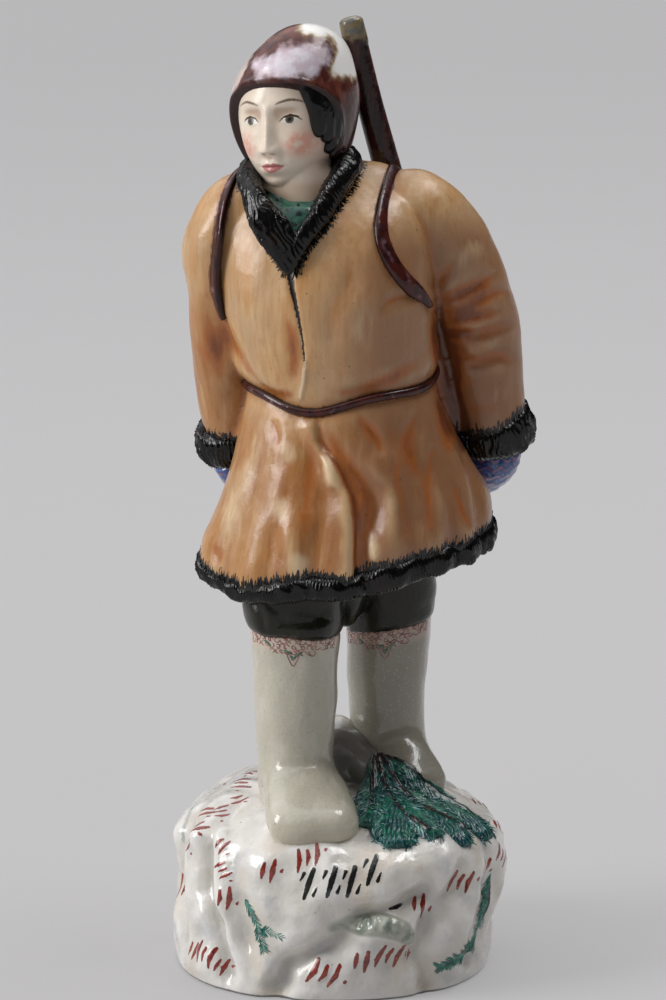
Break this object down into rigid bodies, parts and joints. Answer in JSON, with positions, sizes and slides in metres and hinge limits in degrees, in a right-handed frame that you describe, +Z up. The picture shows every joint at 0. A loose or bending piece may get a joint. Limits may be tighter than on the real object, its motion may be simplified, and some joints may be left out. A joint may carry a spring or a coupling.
{
  "type": "porcelain partisan figurine",
  "caption": "Glazed porcelain statuette of a partisan in a fur-trimmed sheepskin coat and felt boots, hands behind the back with a rifle, on a snowy rock base.",
  "frame": {"origin": "centre of the flat underside of the rock base", "axes": "+Z up; the front of the figure and of the base faces -Y; +X is to the right of someone facing it"},
  "size_m": [0.1158, 0.1022, 0.3003],
  "materials": {
    "white_glaze": "glossy",
    "ochre_coat_enamel": "glossy",
    "black_fur_enamel": "glossy",
    "maroon_enamel": "glossy",
    "skin_enamel": "glossy",
    "grey_felt_enamel": "semi-gloss",
    "olive_black_enamel": "glossy",
    "green_enamel": "glossy",
    "blue_enamel": "glossy"
  },
  "bodies": {
    "root": {"figurine": "white_glaze"}
  },
  "joints": []
}
